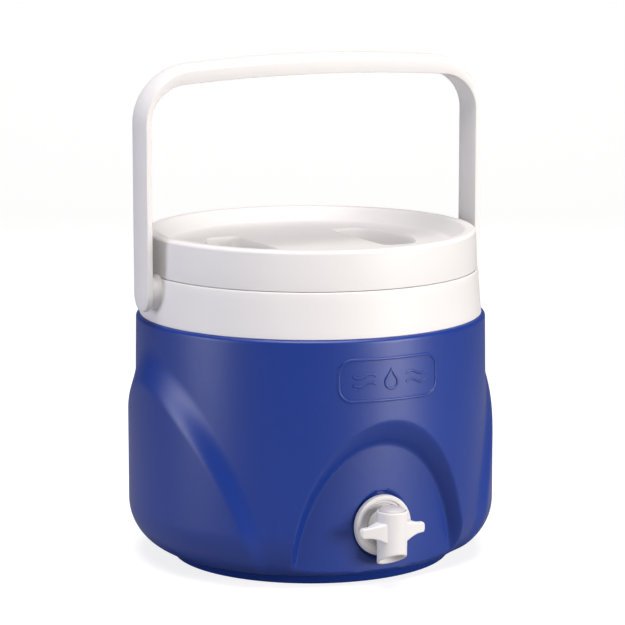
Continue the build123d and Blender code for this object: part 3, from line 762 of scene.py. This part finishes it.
def fused(name, parts, core):
    """One moulding from overlapping closed parts: small fillets where they meet, cored out after."""
    joined = bmesh.new()
    for part in parts:
        joined.from_mesh(part.data)
        bpy.data.objects.remove(part)
    mesh = bpy.data.meshes.new(name)
    joined.to_mesh(mesh)
    joined.free()
    piece = bpy.data.objects.new(name, mesh)
    bpy.context.collection.objects.link(piece)
    remesh = piece.modifiers.new("remesh", "REMESH")
    remesh.mode = "VOXEL"
    remesh.voxel_size = VOXEL_MM * MM
    relax = piece.modifiers.new("relax", "SMOOTH")
    relax.factor = 0.5
    relax.iterations = SMOOTH_ROUNDS
    bore = piece.modifiers.new("bore", "BOOLEAN")
    bore.operation = "DIFFERENCE"
    bore.solver = "EXACT"
    bore.object = core
    done = bpy.data.meshes.new_from_object(piece.evaluated_get(bpy.context.evaluated_depsgraph_get()))
    piece.modifiers.clear()
    piece.data = done
    bpy.data.objects.remove(core)
    done.shade_smooth()
    done.set_sharp_from_angle(angle=math.radians(50))
    return piece


core = around_tube("tube_core", (
    (0.5, CORE_HIGH), (BUTTON_BORE, CORE_HIGH), (BUTTON_BORE, GUIDE_Z[1]), (STEM_R, GUIDE_Z[1]),
    (STEM_R, GUIDE_Z[0]), (CHAMBER_R, GUIDE_Z[0]), (CHAMBER_R, SEAT_Z[1]), (SEAT_R, SEAT_Z[1]),
    (SEAT_R, SEAT_Z[0]), (OUTLET_R, SEAT_Z[0]), (OUTLET_R, SLANT_BELOW + 0.2), (OUTLET_R, CORE_LOW),
    (0.5, CORE_LOW)), closed=False, poles=((0, TUBE_Y, CORE_HIGH), (0, TUBE_Y, CORE_LOW)))
spigot = fused("spigot_moulded", [tube, neck, wing(-1), wing(1)], core)
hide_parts("faucet_body")

FLANGE_R = 23.5
flange = along_y("spigot_flange", (
    (9.1, -122.6), (23.1, -122.6), (FLANGE_R, -123.0), (FLANGE_R, -126.0), (23.3, -126.8), (22.8, -127.3),
    (22.2, -127.4), (20.6, -127.4), (19.9, -127.2), (19.5, -126.7), (19.4, -126.1), (19.1, -125.9),
    (17.8, -125.9), (17.4, -125.6), (17.2, -124.6), (16.7, -123.9), (14.5, -123.4), (12.4, -123.4),
    (9.1, -123.4)))
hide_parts("faucet_escutcheon")

BUTTON_R = 9.9
SKIRT_IN = 8.6
SKIRT_LOW = 59.5
DOME_Z = 62.0
DOME_RISE = 3.4
CAP_CEILING = 62.3          # the spring bears against this
button_profile = [
    (0.5, CAP_CEILING), (SKIRT_IN, CAP_CEILING), (SKIRT_IN, SKIRT_LOW), (BUTTON_R - 0.1, SKIRT_LOW),
    (BUTTON_R, SKIRT_LOW + 0.3), (BUTTON_R, DOME_Z)]
for lean in np.radians(np.arange(6, 89, 7)):
    button_profile.append((BUTTON_R * math.cos(lean), DOME_Z + DOME_RISE * math.sin(lean) ** 1.1))
button = around_tube(
    "push_button_cap", button_profile, closed=False,
    poles=((0, TUBE_Y, CAP_CEILING), (0, TUBE_Y, DOME_Z + DOME_RISE)))
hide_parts("push_button")
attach(button, "button")
for piece in (spigot, flange):
    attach(piece, "jug")
    piece.data.materials.append(white_material)

# Natural polypropylene, unpigmented: a milky grey button that lets some light in, IOR 1.49.
milky_material = bpy.data.materials.new("natural_polypropylene_milky")
milky_material.use_nodes = True
tree = milky_material.node_tree
shader = tree.nodes["Principled BSDF"]
shader.inputs["IOR"].default_value = 1.49
shader.inputs["Subsurface Weight"].default_value = 0.35
shader.inputs["Subsurface Radius"].default_value = (0.003, 0.003, 0.003)
shader.inputs["Subsurface Scale"].default_value = 1.0
MILK_MM = 5.0               # milky streaks as the melt cools
place = add_node(tree, "ShaderNodeTexCoord", {})
milk = add_node(tree, "ShaderNodeTexNoise", {
    "Vector": place.outputs["Object"], "Scale": 1000 / MILK_MM, "Detail": 2.0})
tint = add_node(tree, "ShaderNodeMix", {
    "Factor": milk.outputs["Fac"], "A": linear("#B9B6B8"), "B": linear("#C3C0C1")}, data_type="RGBA")
dull = add_node(tree, "ShaderNodeMapRange", {
    "Value": milk.outputs["Fac"], "To Min": 0.34, "To Max": 0.44})
tree.links.new(tint.outputs["Result"], shader.inputs["Base Color"])
tree.links.new(dull.outputs["Result"], shader.inputs["Roughness"])
button.data.materials.append(milky_material)
for name in ("faucet_nut", "valve_stem"):
    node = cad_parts[name]
    node.data.materials.clear()
    node.data.materials.append(white_material)

# ---------------------------------------------------------------------------------------------
# Button spring. Stainless wire coiled round the stem; it stays with the jug, on the seal, at its
# resting length. Drawing leaves the wire bright, with fine lines that blur its highlights a little.
wire_material = bpy.data.materials.new("drawn_stainless_wire")
wire_material.use_nodes = True
tree = wire_material.node_tree
shader = tree.nodes["Principled BSDF"]
shader.inputs["Metallic"].default_value = 1.0
DRAW_MM = 0.3               # width of the drawing lines
place = add_node(tree, "ShaderNodeTexCoord", {})
lines = add_node(tree, "ShaderNodeTexNoise", {
    "Vector": place.outputs["Object"], "Scale": 1000 / DRAW_MM})
dull = add_node(tree, "ShaderNodeMapRange", {
    "Value": lines.outputs["Fac"], "To Min": 0.22, "To Max": 0.4})
shader.inputs["Base Color"].default_value = linear("#B9BABC")
tree.links.new(dull.outputs["Result"], shader.inputs["Roughness"])
SPRING_R = 6.4
WIRE_R = 0.45
SPRING_LOW = 54.5           # stays on the stem seal
SPRING_HIGH = 62.2
SPRING_TURNS = 3.5
up = np.array([0, 0, 1])
round_wire = np.radians(np.arange(0, 360, 30))
spring_rings = []
for share in np.linspace(0, 1, 120):
    turn = 2 * math.pi * SPRING_TURNS * share
    out = np.array([math.cos(turn), math.sin(turn), 0])
    height = between((SPRING_LOW + WIRE_R, SPRING_HIGH - WIRE_R), share)
    middle = out * SPRING_R + np.array([0, TUBE_Y, height])
    spring_rings.append([
        middle + WIRE_R * (math.cos(lean) * out + math.sin(lean) * up) for lean in round_wire])
wire_ends = (np.mean(spring_rings[0], 0), np.mean(spring_rings[-1], 0))
spring = skin("button_spring", spring_rings, poles=wire_ends)
spring.data.materials.append(wire_material)
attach(spring, "jug")
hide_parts("faucet_spring")
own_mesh(spring)

# ---------------------------------------------------------------------------------------------
# Studio. A sheet of matt white paper makes a pale floor and curves up into the background. A soft
# box stands at each side, a third hangs overhead, and the camera looks slightly down. All in metres.
VIEW_TURN = -26.0
FLOOR_NEAR = -3.0
FLOOR_FAR = 2.0
FLOOR_HALF = 4.0
SWEEP_R = 1.2
WALL_TOP = 4.0
floor_mesh = bpy.data.meshes.new("studio_floor")
sweep = [(FLOOR_NEAR, 0.0), (FLOOR_FAR, 0.0)]
for lean in np.radians(np.arange(0, 91, 6)):
    sweep.append((FLOOR_FAR + SWEEP_R * math.sin(lean), SWEEP_R - SWEEP_R * math.cos(lean)))
sweep.append((FLOOR_FAR + SWEEP_R, WALL_TOP))
floor_points = [(x, y, z) for y, z in sweep for x in (-FLOOR_HALF, FLOOR_HALF)]
floor_faces = [(2 * i, 2 * i + 1, 2 * i + 3, 2 * i + 2) for i in range(len(sweep) - 1)]
floor_mesh.from_pydata(floor_points, [], floor_faces)
floor_mesh.shade_smooth()
floor = bpy.data.objects.new("studio_floor", floor_mesh)
bpy.context.collection.objects.link(floor)
floor.rotation_euler = (0, 0, math.radians(VIEW_TURN))

# Uncoated paper: no gloss and a faint fibre. It glows for the camera alone, which keeps it near white.
paper = bpy.data.materials.new("matt_white_paper")
paper.use_nodes = True
tree = paper.node_tree
shader = tree.nodes["Principled BSDF"]
shader.inputs["Roughness"].default_value = 0.95
shader.inputs["Specular IOR Level"].default_value = 0.1
FIBRE_MM = 25.0             # clouds of fibre, held up to the light
place = add_node(tree, "ShaderNodeTexCoord", {})
fibre = add_node(tree, "ShaderNodeTexNoise", {
    "Vector": place.outputs["Object"], "Scale": 1000 / FIBRE_MM, "Detail": 2.0})
tint = add_node(tree, "ShaderNodeMix", {
    "Factor": fibre.outputs["Fac"], "A": linear("#ABABAB"), "B": linear("#AEAEAE")}, data_type="RGBA")
tree.links.new(tint.outputs["Result"], shader.inputs["Base Color"])
seen = add_node(tree, "ShaderNodeLightPath", {})
glow = add_node(tree, "ShaderNodeMapRange", {
    "Value": seen.outputs["Is Camera Ray"], "To Min": 0.0, "To Max": 0.8})
shader.inputs["Emission Color"].default_value = linear("#FFFFFF")
tree.links.new(glow.outputs["Result"], shader.inputs["Emission Strength"])
floor_mesh.materials.append(paper)


def soft_box(name, azimuth, height, distance, width, tall, power, aim, colour):
    """An area light at an azimuth from the camera's own, aimed at a height on the jug's axis."""
    light = bpy.data.lights.new(name, "AREA")
    light.color = linear(colour)[:3]
    light.shape = "RECTANGLE"
    light.size = width
    light.size_y = tall
    light.energy = power
    lamp = bpy.data.objects.new(name, light)
    bpy.context.collection.objects.link(lamp)
    turn = math.radians(VIEW_TURN + azimuth)
    place = Vector((distance * math.sin(turn), -distance * math.cos(turn), height))
    lamp.location = place
    lamp.rotation_euler = (Vector((0, 0, aim)) - place).to_track_quat("-Z", "Y").to_euler()


soft_box(
    "key_left", azimuth=-68, height=0.35, distance=1.7, width=0.7, tall=0.7, power=12, aim=0.2,
    colour="#EFF0FF")
soft_box(
    "key_right", azimuth=54, height=0.35, distance=1.7, width=0.6, tall=0.64, power=22, aim=0.2,
    colour="#FFFAF6")
soft_box(
    "top_bank", azimuth=5, height=2.2, distance=0.5, width=1.6, tall=1.6, power=58, aim=0.15,
    colour="#FFFAF8")
world = bpy.data.worlds.new("studio_air")
world.use_nodes = True
world.node_tree.nodes["Background"].inputs["Color"].default_value = linear("#FFFFFF")
world.node_tree.nodes["Background"].inputs["Strength"].default_value = 0.12
bpy.context.scene.world = world
bpy.context.scene.view_settings.view_transform = "Standard"

CAMERA_BACK = 2.1843
CAMERA_Z = 0.5703
LOOK_DOWN = math.radians(9.838)
LOOK_ASIDE = math.radians(0.0415)
camera_data = bpy.data.cameras.new("camera")
camera_data.lens = 161.4
camera_data.sensor_width = 36.0
camera = bpy.data.objects.new("camera", camera_data)
bpy.context.collection.objects.link(camera)
to_view = Matrix.Rotation(math.radians(VIEW_TURN), 3, "Z")
camera.location = to_view @ Vector((0, -CAMERA_BACK, CAMERA_Z))
ahead = Vector((math.sin(LOOK_ASIDE), math.cos(LOOK_ASIDE), -math.tan(LOOK_DOWN)))
camera.rotation_euler = (to_view @ ahead).to_track_quat("-Z", "Y").to_euler()
bpy.context.scene.camera = camera
